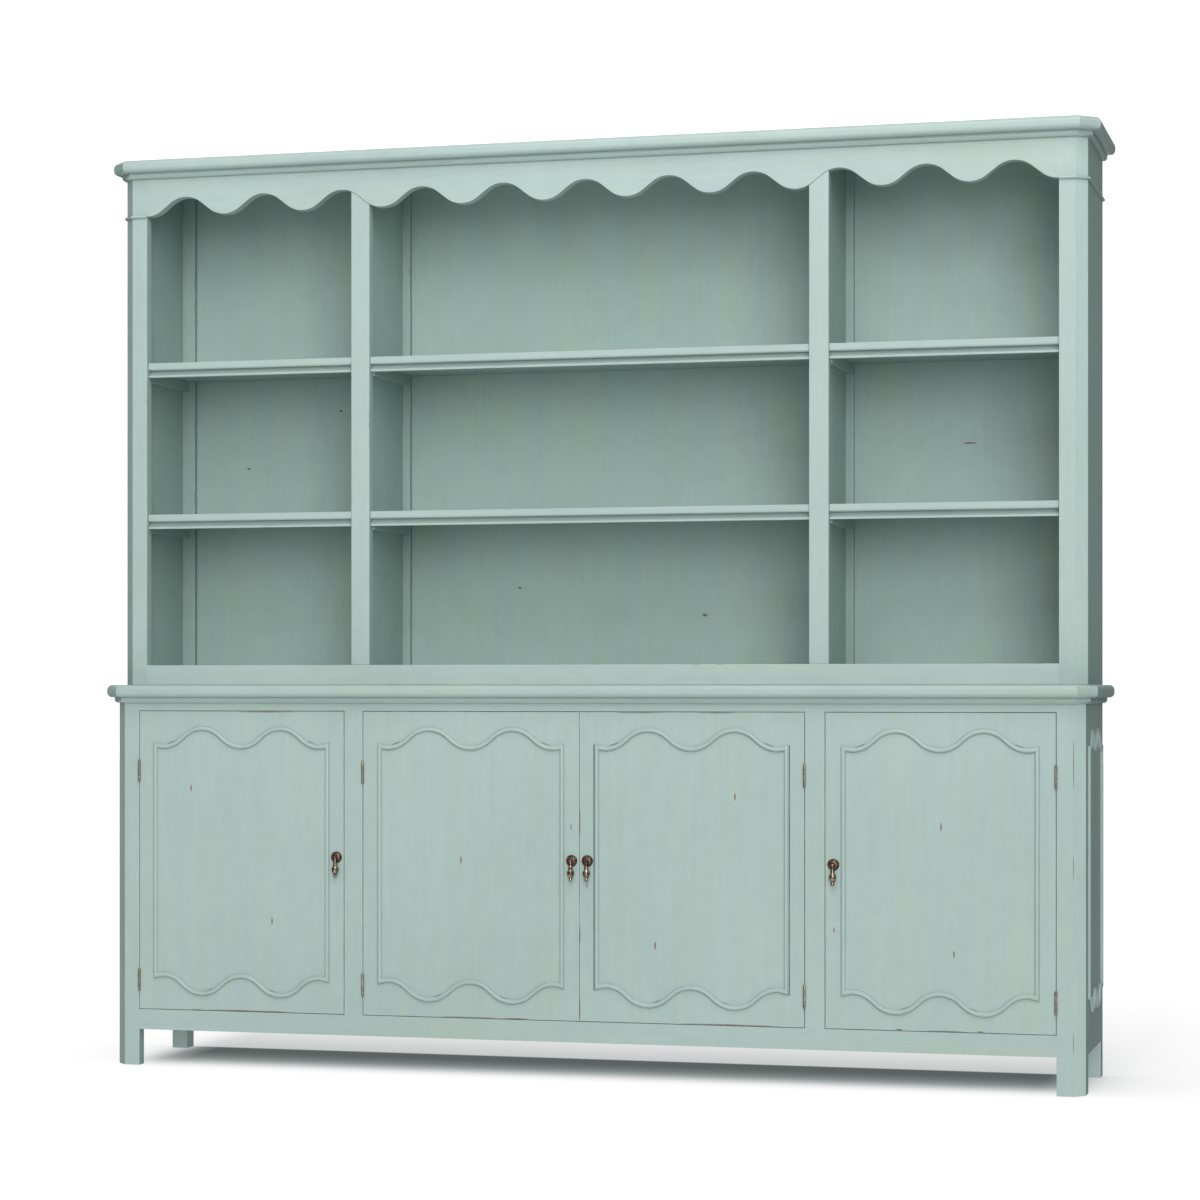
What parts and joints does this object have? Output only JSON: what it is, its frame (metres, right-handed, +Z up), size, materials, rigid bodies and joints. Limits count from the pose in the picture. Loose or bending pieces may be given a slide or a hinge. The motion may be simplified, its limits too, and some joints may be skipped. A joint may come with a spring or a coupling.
{
  "type": "open-fronted hutch",
  "caption": "Tall painted dresser: open shelved rack with a scalloped valance, on a base cabinet with framed doors, scalloped mouldings and drop pulls.",
  "frame": {"origin": "on the floor, under the middle of the box round the whole piece", "axes": "+Z is up, +X is to the right of a person who faces the doors, +Y points to the wall behind"},
  "size_m": [2.402, 0.424, 2.2],
  "materials": {
    "painted_wood": "rubbed matt paint",
    "hinge_brass": "dull, aged",
    "pull_brass": "antique, satin",
    "catch_steel": "dull zinc plate"
  },
  "bodies": {
    "cabinet": {"base_front_posts": "painted_wood", "base_back_legs": "painted_wood", "base_mullions": "painted_wood", "base_top_rail": "painted_wood", "base_bottom_rail": "painted_wood", "base_back_rails": "painted_wood", "base_side_rails": "painted_wood", "base_side_panels": "painted_wood", "base_side_mouldings": "painted_wood", "base_floor_board": "painted_wood", "base_partitions": "painted_wood", "base_shelves": "painted_wood", "base_shelf_cleats": "painted_wood", "base_back_panel": "painted_wood", "waist_fillet": "painted_wood", "waist_board": "painted_wood", "hinge_frame_leaves": "hinge_brass", "door_catches": "catch_steel", "hutch_posts": "painted_wood", "hutch_mullions": "painted_wood", "hutch_bottom_rail": "painted_wood", "hutch_valance": "painted_wood", "hutch_bead": "painted_wood", "hutch_sides": "painted_wood", "hutch_dividers": "painted_wood", "hutch_floor_board": "painted_wood", "hutch_shelves_lower": "painted_wood", "hutch_shelves_upper": "painted_wood", "hutch_shelf_nosings": "painted_wood", "hutch_shelf_cleats": "painted_wood", "hutch_back_battens": "painted_wood", "hutch_back_panel": "painted_wood", "hutch_back_rails": "painted_wood", "cornice_fillet": "painted_wood", "cornice_board": "painted_wood"},
    "door_1": {"door_1_frame": "painted_wood", "door_1_panel": "painted_wood", "door_1_moulding": "painted_wood", "door_1_hinge_leaves": "hinge_brass", "door_1_pull_rosette": "pull_brass"},
    "drop_1": {"door_1_pull_drop": "pull_brass"},
    "door_2": {"door_2_frame": "painted_wood", "door_2_panel": "painted_wood", "door_2_moulding": "painted_wood", "door_2_hinge_leaves": "hinge_brass", "door_2_pull_rosette": "pull_brass"},
    "drop_2": {"door_2_pull_drop": "pull_brass"},
    "door_3": {"door_3_frame": "painted_wood", "door_3_panel": "painted_wood", "door_3_moulding": "painted_wood", "door_3_hinge_leaves": "hinge_brass", "door_3_pull_rosette": "pull_brass"},
    "drop_3": {"door_3_pull_drop": "pull_brass"},
    "door_4": {"door_4_frame": "painted_wood", "door_4_panel": "painted_wood", "door_4_moulding": "painted_wood", "door_4_hinge_leaves": "hinge_brass", "door_4_pull_rosette": "pull_brass"},
    "drop_4": {"door_4_pull_drop": "pull_brass"}
  },
  "joints": [
    {"name": "door_1_hinge", "type": "hinge", "parent": "cabinet", "child": "door_1", "pos_m": [-1.107, -0.1871, 0.461], "axis": [0, 0, -1], "range_deg": [0, 110]},
    {"name": "drop_1_pivot", "type": "hinge", "parent": "door_1", "child": "drop_1", "pos_m": [-0.601, -0.1934, 0.511], "axis": [-1, 0, 0], "range_deg": [0, 90]},
    {"name": "door_2_hinge", "type": "hinge", "parent": "cabinet", "child": "door_2", "pos_m": [-0.534, -0.1871, 0.461], "axis": [0, 0, -1], "range_deg": [0, 110]},
    {"name": "drop_2_pivot", "type": "hinge", "parent": "door_2", "child": "drop_2", "pos_m": [-0.019, -0.1934, 0.511], "axis": [-1, 0, 0], "range_deg": [0, 90]},
    {"name": "door_3_hinge", "type": "hinge", "parent": "cabinet", "child": "door_3", "pos_m": [0.534, -0.1871, 0.461], "axis": [0, 0, 1], "range_deg": [0, 110]},
    {"name": "drop_3_pivot", "type": "hinge", "parent": "door_3", "child": "drop_3", "pos_m": [0.019, -0.1934, 0.511], "axis": [-1, 0, 0], "range_deg": [0, 90]},
    {"name": "door_4_hinge", "type": "hinge", "parent": "cabinet", "child": "door_4", "pos_m": [1.107, -0.1871, 0.461], "axis": [0, 0, 1], "range_deg": [0, 110]},
    {"name": "drop_4_pivot", "type": "hinge", "parent": "door_4", "child": "drop_4", "pos_m": [0.601, -0.1934, 0.511], "axis": [-1, 0, 0], "range_deg": [0, 90]}
  ]
}
